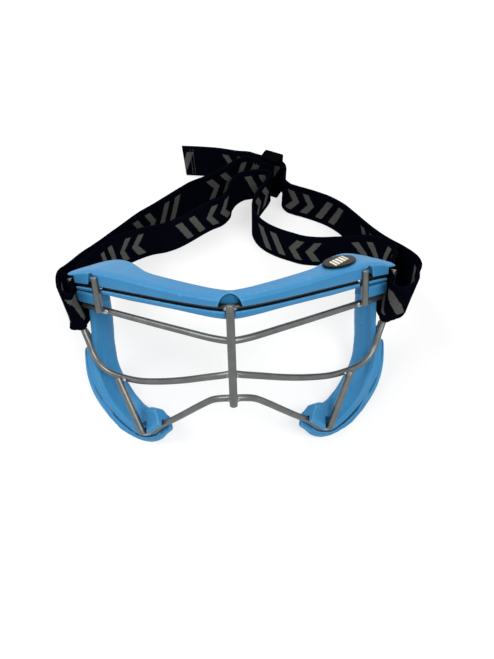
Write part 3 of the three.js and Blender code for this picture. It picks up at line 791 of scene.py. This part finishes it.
# from the temple down to the toe: shares across and up, wire diameters behind the cage, the depth's share,
# which way is back (x, y, z), how far the front hooks over the wire, and the outer wall in lips
sideRows = [
    (0.93, 0.09, 1.45, 0.13, -0.5, 0.87, 0, 0.1, 0.7),
    (0.935, 0, 1.45, 0.145, -0.5, 0.87, 0, 0.1, 0.7),
    (0.938, -0.13, 1.45, 0.155, -0.48, 0.88, 0, 0.1, 0.7),
    (0.945, -0.225, 1.3, 0.165, -0.46, 0.89, 0, 0.1, 0.7),
    (0.955, -0.32, 1.1, 0.175, -0.45, 0.89, 0.03, 1.4, 0.5),
    (0.95, -0.42, 0.75, 0.185, -0.42, 0.9, 0.08, 1.6, 0.8),
    (0.925, -0.525, 0.3, 0.19, -0.38, 0.9, 0.18, 1.6, 1),
    (0.87, -0.625, 0, 0.195, -0.32, 0.9, 0.3, 1.2, 1.15),
    (0.79, -0.71, 0, 0.195, -0.25, 0.88, 0.4, 0.85, 1.3),
    (0.7, -0.765, 0, 0.19, -0.15, 0.87, 0.46, 0.8, 1.4),
    (0.61, -0.785, 0, 0.185, -0.05, 0.87, 0.5, 0.8, 1.4),
    (0.53, -0.755, 0, 0.16, 0.05, 0.87, 0.5, 0, 1.3),
    (0.475, -0.695, 0, 0.13, 0.15, 0.87, 0.46, 0, 1.1),
    (0.435, -0.655, 0, 0.1, 0.2, 0.88, 0.42, 0, 0.9),
]
channelStart, cheekBarRow = 4, 10  # rows of the table above
toeRows = [  # where along the rows above, how far in and how far forward the lip by the table goes
    (7, -3, 3.2), (7.5, -2.7, 3.5), (7.75, -1.8, 3.9), (8, -1, 4.4), (8.5, -0.7, 5.3), (9, -0.6, 5.1),
    (9.5, -0.6, 4.6), (10, -0.6, 4.2), (10.5, -0.6, 3.7), (11, -1.6, 3.4), (11.5, -2.4, 3.2),
]
toe = {  # the bevels and thicknesses of that lip
    "undercut": 1.0,
    "crown": 0.9,
    "bevel": 0.6,
    "ledge": 1.2,
    "step": 0.3,
    "thinnest": 1.2,
    "deepest": 3.1,
}
block = {"from": 0.812, "to": 0.955, "depth": 0.08, "top": 0.1, "foot": 0.02}  # under the brow pad


def innerOutline(sizes):
    # a ridge runs along the wall, and the front hooks over the wire below the temple
    lip, face = padLook["lip"], -cage["wireRadius"] - cage["fit"]
    depth, hook = sizes["depth"], sizes["hook"]
    ridge = padLook["ridge"] * np.interp(sizes["row"], (5, 9), (1, 0))
    reach = padLook["lipReach"] + hook * padLook["hookReach"]
    over = face + hook * (2 * cage["wireRadius"] - padLook["lipReach"] / 2)
    return [(face, face), (over, face), (over, lip / 4 - reach), (over - lip / 6, -reach),
            (face - lip / 2, -reach), (face - lip, -lip / 3), (face - lip, depth * 0.2),
            (face - lip - ridge, depth * 0.32), (face - lip * 1.15 - ridge, depth / 2),
            (face - lip * 1.5, depth - lip), (face - lip, depth), (face, depth)]


def channelOutline(sizes):
    # the wall and lip outside the wire, which make a channel with the inner wall
    lip, web, fit = padLook["lip"], cage["wireRadius"] + cage["fit"], cage["fit"]
    reach = padLook["outerReach"] * np.interp(sizes["row"], (4, 6.5), (0.65, 1))
    outer, depth = web + sizes["wall"] * lip, sizes["depth"]
    return [(-web - fit, web), (web, web), (web, lip / 2 - reach), (web + lip / 4, -reach),
            (outer - lip / 4, -reach), (outer, lip / 2 - reach), (outer, depth / 2), (web, depth - lip),
            (-fit, depth), (-web - fit, depth - fit)]


def toeOutline(sizes):
    # the lip in front of the wire, where the table leaves no room below it
    rows = np.array(toeRows)
    rise, reach = [np.interp(sizes["row"], rows[:, 0], rows[:, column]) for column in (1, 2)]
    top, base = -rise, cage["wireRadius"] + cage["fit"] + sizes["wall"] * padLook["lip"] * 0.9
    near = min(reach - toe["thinnest"], toe["deepest"])
    crown, bevel, ledge, step = [toe[key] for key in ("crown", "bevel", "ledge", "step")]
    return [(top - toe["undercut"], -near), (top - crown, -near - step), (top + 0.2, -reach + 0.5),
            (top + crown, -reach), (base - bevel, -reach), (base, -reach + bevel), (base, -bevel),
            (ledge, -bevel), (ledge, -near + step)]


def sideFrames():
    # the places along the rim wire, which ways are out and back there, and the sizes of the section
    rows, perRow = np.array(sideRows, float), padLook["rings"]
    places = np.array([onCage(r[:2], cage["wireSet"] + r[2] * 2 * cage["wireRadius"]) for r in rows])
    places = curveThrough(places, perRow)
    rest = curveThrough(rows[:, 3:], perRow, 0)
    frames = []
    for i, (place, tangent, (depth, x, y, z, hook, wall)) in enumerate(zip(places, tangents(places), rest)):
        back = unit((x, y, z))
        sizes = {"depth": depth * cage["halfWidth"], "hook": hook, "wall": wall, "row": i / perRow}
        frames.append((place, unit(np.cross(tangent, back)), back, sizes))
    return frames


def padLoft(frames, outlineOf, start=0, end=len(sideRows)):
    rings = [[place + outwardWay * u + back * v for u, v in outlineOf(sizes)]
             for place, outwardWay, back, sizes in frames if start <= sizes["row"] <= end]
    return tableLoft(rings)


def sidePads():
    frames = sideFrames()
    ends = [(block[end], block["depth"], block["top"], block["foot"]) for end in ("from", "to")]
    parts = [padLoft(frames, innerOutline), padLoft(frames, channelOutline, channelStart),
             padLoft(frames, toeOutline, toeRows[0][0], toeRows[-1][0]), browLoft(ends, blockOutline)]
    head, foot = barLines["cheekBarRight"]
    foot = foot + unit(head - foot) * padLook["notchRise"]
    back = unit(sideRows[cheekBarRow][4:7])
    notch = np.linspace(foot - back * 2 * barStand, foot + back * 1.5 * barStand, 6)
    roomy = cage["wireRadius"] + cage["fit"] / 3
    cutters = [boxPart((-300, -300, -60), (300, 300, padLook["tableGap"])),  # the table itself
               rod(toTable(notch), padLook["cheekNotch"], sides=32, rounding=0.1)]
    cutters += [rod(toTable(path), roomy, sides=16, rounding=0.1) for path in (rimPath, lowerPath)]
    pads = (("sidePadRight", "side_pad_right", False), ("sidePadLeft", "side_pad_left", True))
    for name, node, flip in pads:
        made = [flippedX(part) for part in parts] if flip else parts
        cuts = [flippedX(cutter) for cutter in cutters] if flip else cutters
        pad = moulded(name, made, cuts, padLook)
        fitted(pad, blueSilicone, "frame", "pad", node)


fitted(browPad(), blueSilicone, "frame", "pad", "brow_pad")
sidePads()
print("goggles: pads moulded")

# badge
badgeLook = {
    "place": (0.685, 0.075, 0.2565),  # shares across, back and up
    "length": 22.0,
    "width": 13.0,
    "thickness": 1.0,
    "turn": 16.0,
    # in from the edge, and up as a share of the thickness
    "edge": [(-0.35, 0), (0, 0.12), (0, 0.55), (-0.18, 0.82), (-0.5, 0.95), (-1.0, 0.9), (-1.3, 0.92)],
    "crown": (2.2, 3.2, 4.2, 5.2, 5.9),
    "crownRise": 0.1,
    "bars": ((-5.6, 0.75), (-3.1, 1.0), (-0.2, 1.0), (2.7, 1.0), (5.3, 0.7)),  # middle and half width
    "barLean": 0.5,
    "rowLean": 0.06,
    "barHalf": 2.7,
    "wear": 0.8,
    "pits": 0.6,
    "depth": 0.08,
    "black": colour(0.003, 0.003, 0.0035),
    "cream": colour(0.78, 0.74, 0.6),
}


def badgeFinish():
    look, make = badgeLook, Finish("badgeFace")
    x, y = alongAndAcross(make, "platePlace")
    bars = 0.0
    for middle, half in look["bars"]:
        bars = (x - look["barLean"] * y).near(middle, half) + bars
    bars = bars * (y - look["rowLean"] * x).near(0.0, look["barHalf"])
    worn = make.noise(look["wear"], 3).ramp(0.3, 0.45)
    base = make.mixed(bars * worn, look["black"], look["cream"])
    normal = make.bump(bars + 0.2 * make.noise(look["pits"], 2), 0.3, look["depth"])
    return make.surface(base, 0.3 + 0.1 * bars, normal, {"Specular IOR Level": 0.3, "IOR": 1.2})


def keepPlaces(piece, name, places):
    # the finish reads where each point lies on its own piece
    attribute = piece.data.attributes.new(name, "FLOAT_VECTOR", "POINT")
    attribute.data.foreach_set("vector", np.array(places, np.float32).ravel())


def badge():
    look = badgeLook
    x, behind, height = [share * cage["halfWidth"] for share in look["place"]]
    back = browBack(x)
    middle = np.array([x, sweepBack(x, 0, cage["wireSet"]), height + cage["fit"]]) + back * behind
    turn = math.atan2(back[1], back[0]) - math.pi / 2 + math.radians(look["turn"])
    axes = np.array([(math.cos(turn), math.sin(turn), 0), (-math.sin(turn), math.cos(turn), 0), up])
    rimIn, rimUp = -look["edge"][-1][0], look["edge"][-1][1]
    span = look["crown"][-1] + 0.1 - rimIn
    profile = look["edge"] + [(-r, rimUp + look["crownRise"] * math.sin(math.pi / 2 * (r - rimIn) / span))
                              for r in look["crown"]]
    rings, plate = [], []
    for inset, share in profile:
        ring = []
        long, wide = look["length"] / 2 + inset, look["width"] / 2 + inset
        for a in allRound(72):
            local = np.array([long * math.cos(a), wide * math.sin(a), share * look["thickness"]])
            ring.append(middle + local @ axes)
            plate.append(local * mm)
        rings.append(ring)
    piece = asMesh("badge", [tableLoft(rings)])
    keepPlaces(piece, "platePlace", plate)
    return piece


fitted(badge(), badgeFinish(), "frame", "badge", "badge")
print("goggles: badge made")

# strap and adjuster
adjuster = {
    "place": (0.1415, 0.972),  # shares of the strap's reach
    "turn": math.radians(-28),
    "length": 14.0,
    "wall": 2.6,
    "room": 0.5,
    "barWidth": 2.4,
    "barThickness": 2.2,
    "barInset": 0.8,
    "centreRadius": 1.1,
    "sewnLength": 13.0,
    "sewnPoints": (-10.0, -7.0),  # along the sewn end, before its loop
    "grain": 0.25,
    "smoothing": 9,
}
adjusterHalf = webbing["width"] / 2 + adjuster["wall"] + adjuster["room"]
adjusterMiddle = np.array([*(np.array(adjuster["place"]) * webbing["reach"]), adjusterHalf])
alongAdjuster = np.array([math.cos(adjuster["turn"]), math.sin(adjuster["turn"]), 0.0])
frontOfAdjuster = np.array([math.sin(adjuster["turn"]), -math.cos(adjuster["turn"]), 0.0])

# each row is across, back and how high the lower edge is, then how far the webbing leans across and back
tailRows = [(-0.178, 1.07, 0.008), (-0.115, 1.06, 0.01), (-0.042, 1.042, 0.014), (0.02, 1.022, 0.0155)]
atAdjuster = (-1.3, -1, -0.5, -0.25, 0.25, 0.5)  # lengths of the adjuster
rightOuterRows = [
    (0.1815, 0.94, 0.0155), (0.183, 0.9175, 0.013), (0.178, 0.8925, 0.01), (0.179, 0.871, 0.0075),
    (0.1925, 0.8515, 0.005), (0.215, 0.84, 0.0025), (0.245, 0.829, 0), (0.285, 0.808, 0),
    (0.325, 0.782, 0), (0.36, 0.745, 0.002), (0.385, 0.695, 0.01), (0.407, 0.635, 0.025),
    (0.4305, 0.565, 0.046, 0.01, 0.02), (0.453, 0.495, 0.074, 0.02, 0.04), (0.47, 0.428, 0.108, 0.04, 0.07),
    (0.4755, 0.37, 0.1385, 0.06, 0.09), (0.4675, 0.322, 0.1635, 0.08, 0.1),
]
rightInnerRows = [
    (0.392, 0.338, 0.1455, 0.1, 0.06), (0.409, 0.372, 0.135, 0.12, 0.08), (0.432, 0.412, 0.117, 0.1, 0.1),
    (0.446, 0.46, 0.096, 0.06, 0.11), (0.437, 0.508, 0.066, 0.03, 0.09), (0.409, 0.548, 0.041, 0, 0.05),
    (0.365, 0.575, 0.018), (0.315, 0.592, 0.004), (0.26, 0.598, 0), (0.22, 0.605, 0), (0.185, 0.62, 0),
    (0.145, 0.64, 0), (0.11, 0.665, 0), (0.0825, 0.6975, 0), (0.067, 0.74, 0), (0.07, 0.785, 0),
    (0.085, 0.8225, 0.0025), (0.105, 0.8575, 0.005), (0.1235, 0.888, 0.0075), (0.13, 0.9075, 0.01),
    (0.119, 0.921, 0.01), (0.0975, 0.924, 0.01),
]
leftInnerRows = [
    (0.065, 0.92, 0.01), (0.035, 0.9125, 0.01), (0.009, 0.8925, 0.0075), (-0.008, 0.8625, 0.005),
    (-0.015, 0.83, 0.0025), (-0.04, 0.7975, 0), (-0.075, 0.7775, 0), (-0.11, 0.7525, 0), (-0.15, 0.72, 0),
    (-0.19, 0.6925, 0), (-0.23, 0.675, 0), (-0.275, 0.665, 0), (-0.315, 0.6425, 0.005),
    (-0.3475, 0.6075, 0.02), (-0.37, 0.5575, 0.045, 0, 0.04), (-0.385, 0.495, 0.072, 0, 0.08),
    (-0.394, 0.43, 0.108, 0, 0.1), (-0.396, 0.375, 0.134, -0.07, 0.08), (-0.392, 0.338, 0.1455, -0.1, 0.06),
]
leftOuterRows = [
    (-0.4245, 0.335, 0.16, -0.09, 0.12), (-0.4215, 0.38, 0.136, -0.05, 0.11),
    (-0.4155, 0.435, 0.109, 0, 0.1), (-0.4055, 0.49, 0.079, 0, 0.08), (-0.391, 0.545, 0.054, 0, 0.05),
    (-0.369, 0.6, 0.037, 0, 0.03), (-0.336, 0.655, 0.027), (-0.3, 0.71, 0.0175),
    (-0.26, 0.7575, 0.009), (-0.22, 0.8025, 0.004), (-0.1825, 0.84, 0.0025),
]
elasticRows = [
    (-0.1425, 0.875, 0.0025), (-0.0925, 0.9, 0.005), (-0.045, 0.9275, 0.009), (-0.0075, 0.9575, 0.012),
    (0.025, 0.9815, 0.0145), (0.05, 0.991, 0.0155),
]
# loosely round the temple prongs, from outside to inside on the right and back on the left
rightLoopRows = [
    (0.4524, 0.2873, 0.1776, 0.08, 0.1), (0.4444, 0.2633, 0.1832, 0.03, 0.04),
    (0.4264, 0.2443, 0.1851, -0.02, 0.01), (0.4064, 0.2393, 0.1841, 0, 0),
    (0.3894, 0.2503, 0.1798, 0.06, 0.03), (0.3894, 0.2763, 0.1691, 0.11, 0.04),
    (0.3894, 0.3023, 0.1566, 0.11, 0.05),
]
leftLoopRows = [
    (-0.3894, 0.3023, 0.1566, -0.11, 0.05), (-0.3894, 0.2773, 0.17, -0.1, 0.05),
    (-0.3876, 0.2558, 0.1818, -0.04, 0.07), (-0.3966, 0.2443, 0.188, 0, 0.11),
    (-0.4096, 0.2538, 0.1902, 0, 0.13), (-0.4171, 0.2768, 0.1873, -0.05, 0.14),
    (-0.4216, 0.3028, 0.18, -0.1, 0.14),
]


def tableStations(rows):
    # the middle of the webbing and the way its width points
    stations = []
    for row in rows:
        x, y, foot, leanX, leanY = (*row, 0, 0)[:5]
        wide = unit((leanX, leanY, 1))
        middle = np.array([x, y, foot]) * webbing["reach"] + up * wide[2] * webbing["width"] / 2
        stations.append((middle + table["shift"], wide))
    return stations


def adjusterStation(along, front=0.0):
    # a place on the webbing inside the adjuster, upright there
    return adjusterMiddle + alongAdjuster * along + frontOfAdjuster * front + table["shift"], up


def wovenSection(half, thick):
    # round a section of webbing: offset across, offset through, both in millimetres
    edge = thick / 2
    points = [(half - edge + edge * math.sin(a), edge * math.cos(a)) for a in np.linspace(0, math.pi, 6)]
    points += [(x, -edge) for x in np.linspace(half - edge, -half + edge, 13)[1:-1]]
    return points + [(-x, -y) for x, y in points]


def lengthsAlong(path):
    return np.concatenate([[0], np.cumsum(np.linalg.norm(np.diff(path, axis=0), axis=1))])


def ribbon(name, stations, perSpan=8, startAlong=0.0):
    # a length of webbing; wovenPlace keeps how far along and across each point is
    middles = curveThrough([s[0] for s in stations], perSpan)
    wides = curveThrough([s[1] for s in stations], perSpan, 0)
    along = tangents(middles)
    lengths = lengthsAlong(middles) + startAlong
    section = wovenSection(webbing["width"] / 2, webbing["thickness"])
    rings, woven = [], []
    for middle, wide, tangent, length in zip(middles, wides, along, lengths):
        wide = unit(wide - tangent * np.dot(wide, tangent))
        thick = np.cross(tangent, wide)
        rings.append([middle + wide * a + thick * b for a, b in section])
        woven += [(length * mm, a * mm, b * mm) for a, b in section]
    piece = asMesh(name, [loft(rings)])
    keepPlaces(piece, "wovenPlace", woven)
    return piece, lengths[-1]


strapStations = (
    tableStations(tailRows) + [adjusterStation(a * adjuster["length"]) for a in atAdjuster]
    + tableStations(rightOuterRows + rightLoopRows + rightInnerRows)
    + tableStations(leftInnerRows + leftLoopRows + leftOuterRows)
)
strap, strapLength = ribbon("strap", strapStations)
fitted(strap, blackWebbing, "strap", "webbing", "strap")

barFront = webbing["thickness"] * 1.5 + 2 * cage["fit"] + adjuster["centreRadius"]
layer = webbing["thickness"] / 2
sewnStart = adjusterStation(-adjuster["sewnLength"], barFront + layer)
elasticStations = [strapStations[-1]] + tableStations(elasticRows) + [sewnStart]
elastic, elasticLength = ribbon("strapElastic", elasticStations, startAlong=strapLength)
fitted(elastic, blackWebbing, None, "webbing", "strap_elastic")
blendStart, blendEnd = [tuple(station[0] * mm) for station in (strapStations[-1], sewnStart)]
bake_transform(elastic)


def sewnEnd():
    # folded round the centre bar and back on itself
    loop = adjuster["centreRadius"] + cage["fit"] + layer
    toLoop, above = -loop * 1.4, loop * 0.72
    stations = [sewnStart] + [adjusterStation(along, barFront + layer) for along in adjuster["sewnPoints"]]
    stations.append(adjusterStation(toLoop, barFront + above))
    for a in np.linspace(0, math.pi, 7):
        stations.append(adjusterStation(loop * math.sin(a), barFront + loop * math.cos(a)))
    stations.append(adjusterStation(toLoop, barFront - above))
    for along in (*adjuster["sewnPoints"][::-1], -adjuster["sewnLength"] + 0.4):
        stations.append(adjusterStation(along, barFront - layer))
    return ribbon("strapSewnEnd", stations, perSpan=4, startAlong=elasticLength)[0]


fitted(sewnEnd(), blackWebbing, "adjuster", "webbing", "strap_sewn_end")

seams = {
    "thread": 0.2,
    "rise": 0.16,  # how proud of the webbing a stitch stands
    "gap": 0.6,
    "sewn": {"stitch": 1.7, "inset": 1.8, "rows": (-11.8, -9.4)},
    "tail": {"stitch": 1.6, "inset": 1.6, "rows": (6.0, 7.6)},
}


def stitches(base, out, seam):
    # a row of short threads up the webbing's face; out points off it
    start, end = [base + up * side * (webbing["width"] / 2 - seam["inset"]) for side in (-1, 1)]
    way, pitch = unit(end - start), seam["stitch"] + seams["gap"]
    parts = []
    for i in range(int(np.linalg.norm(end - start) // pitch)):
        a = start + way * (i * pitch + seams["gap"] / 2)
        b = a + way * seam["stitch"]
        arc = curveThrough([a, (a + b) / 2 + out * seams["rise"], b], 5)
        parts.append(rod(arc, seams["thread"], sides=8, rounding=0.12))
    return parts


def sewnStitches():
    parts = []
    for along in seams["sewn"]["rows"]:
        parts += stitches(adjusterStation(along, barFront + 2 * layer)[0], frontOfAdjuster, seams["sewn"])
    return asMesh("sewnStitches", parts)


def tailStitches():
    middles = curveThrough([station[0] for station in tableStations(tailRows)], 20)
    along, lengths = tangents(middles), lengthsAlong(middles)[1:]
    parts = []
    for distance in seams["tail"]["rows"]:
        i = int(np.searchsorted(lengths, distance))
        for face in (-1, 1):
            out = unit(np.cross(along[i], up)) * face
            parts += stitches(middles[i] + out * layer, out, seams["tail"])
    return asMesh("tailStitches", parts)


fitted(sewnStitches(), blackThread, "adjuster", "webbing")
fitted(tailStitches(), blackThread, "strap", "webbing")
print("goggles: strap woven,", round(elasticLength), "mm")


def adjusterPiece():
    # drawn along the strap, back from the viewer and up, then turned into its place
    look, fit = adjuster, cage["fit"]
    back = webbing["thickness"] / 2 + fit * 2 + look["barThickness"]
    front = -barFront - look["centreRadius"] - fit
    long, bend = look["length"] / 2, look["wall"] / 2
    corners = ((long - bend, front + bend, -90), (long - bend, back - bend, 0),
               (-long + bend, back - bend, 90), (-long + bend, front + bend, 180))
    outline = [(x + bend * math.cos(a), y + bend * math.sin(a)) for x, y, start in corners
               for a in np.radians(np.linspace(start, start + 90, 6))]
    parts = []
    for low in (-adjusterHalf, adjusterHalf - look["wall"]):
        parts.append(loft([[(x, y, z) for x, y in outline] for z in (low, low + look["wall"])]))
    tall, wide = adjusterHalf - look["barInset"], look["barWidth"] / 2
    near, far = back - look["barThickness"] - fit, back - fit
    for x in (-long + wide + fit, long - wide - fit):
        parts.append(boxPart((x - wide, near, -tall), (x + wide, far, tall)))
    ends = [(0, -barFront, side * (adjusterHalf - look["wall"] / 2)) for side in (-1, 1)]
    parts.append(rod(np.linspace(*ends, 6), look["centreRadius"], sides=20, rounding=0.1))
    axes = np.array([alongAdjuster, -frontOfAdjuster, up])
    placed = [(np.asarray(v) @ axes + adjusterMiddle + table["shift"], f) for v, f in parts]
    return moulded("slideAdjuster", placed, [], look)


fitted(adjusterPiece(), glossBlack, "adjuster", "adjuster", "slide_adjuster")
print("goggles: adjuster moulded")

# floor, light and camera
studio = {
    "floorColour": colour(0.86, 0.86, 0.86),
    "floorShade": colour(0.8, 0.8, 0.8),
    "floorPatches": 220.0,
    "floorHalf": 9000.0,
    "whiteShare": 0.64,  # how far the floor goes to plain white where it is seen
    "world": 0.48,
    "aim": (0, 0, 30),
    "lamps": [((500, -600, 1250), 13.0), ((-900, 100, 1200), 11.0), ((0, 1200, 1000), 6.0)],  # place, watts
    "lampSize": 800.0,
}


def floorFinish():
    make = Finish("paleFloor")
    shade = 0.97 + 0.03 * make.noise(studio["floorPatches"], 2)
    colours = make.mixed(shade, studio["floorShade"], studio["floorColour"])
    cloth = make.node("ShaderNodeBsdfDiffuse", None, {"Color": colours})
    white = make.node("ShaderNodeEmission", None, {"Color": colour(1, 1, 1), "Strength": 1.0})
    share = make.shown() * studio["whiteShare"]
    return make.output("Material", make.node("ShaderNodeMixShader", None, {0: share, 1: cloth, 2: white}))


def buildFloor():
    reach, height = studio["floorHalf"] * mm, cadBounds[0][2]
    mesh = bpy.data.meshes.new("floor")
    corners = [(x * reach, y * reach, height) for x, y in ((-1, -1), (1, -1), (1, 1), (-1, 1))]
    mesh.from_pydata(corners, [], [(0, 1, 2, 3)])
    floor = linked("floor", mesh)
    floor.data.materials.append(floorFinish())


def buildWorld():
    make = Finish("studio", bpy.data.worlds)
    light, seen = [make.node("ShaderNodeBackground", None, {"Color": colour(1, 1, 1), "Strength": strength})
                   for strength in (studio["world"], 1.0)]
    both = make.node("ShaderNodeMixShader", None, {0: make.shown(), 1: light, 2: seen})
    bpy.context.scene.world = make.output("World", both)


def buildLamps():
    aim = Vector(studio["aim"])
    for i, (place, watts) in enumerate(studio["lamps"]):
        data = bpy.data.lights.new(f"softbox{i + 1}", "AREA")
        data.size, data.energy, data.shape = studio["lampSize"] * mm, watts, "SQUARE"
        lamp = linked(data.name, data)
        lamp.location = Vector(place) * mm
        lamp.rotation_euler = (aim - Vector(place)).to_track_quat("-Z", "Y").to_euler()


view = {
    "pitch": 25.0,  # the angles and the place are in the goggles' upright frame
    "yaw": 0.25,
    "roll": 1.49,
    "place": (5.89, -188.7, 92.6),
    "focalPixels": 495.0,
    "imageHeight": 659,
}


def buildCamera():
    pitch, yaw, roll = [math.radians(view[key]) for key in ("pitch", "yaw", "roll")]
    forward = np.array([math.sin(yaw) * math.cos(pitch), math.cos(yaw) * math.cos(pitch), -math.sin(pitch)])
    right = np.array([math.cos(yaw), -math.sin(yaw), 0.0])
    upward = np.cross(right, forward)
    rolledRight = math.cos(roll) * right - math.sin(roll) * upward
    rolledUp = math.sin(roll) * right + math.cos(roll) * upward
    axes = leaned([rolledRight, rolledUp, -forward])
    data = bpy.data.cameras.new("camera")
    data.sensor_fit, data.sensor_height = "VERTICAL", 36.0
    data.lens = view["focalPixels"] / view["imageHeight"] * data.sensor_height
    data.clip_start = 0.01
    matrix = Matrix([list(row) for row in axes]).transposed().to_4x4()
    matrix.translation = Vector(toTable(view["place"])[0] * mm)
    camera = linked("camera", data)
    camera.matrix_world = matrix
    bpy.context.scene.camera = camera


buildFloor()
buildWorld()
buildLamps()
buildCamera()
bpy.context.scene.view_settings.view_transform = "Standard"
print("goggles: stage set")
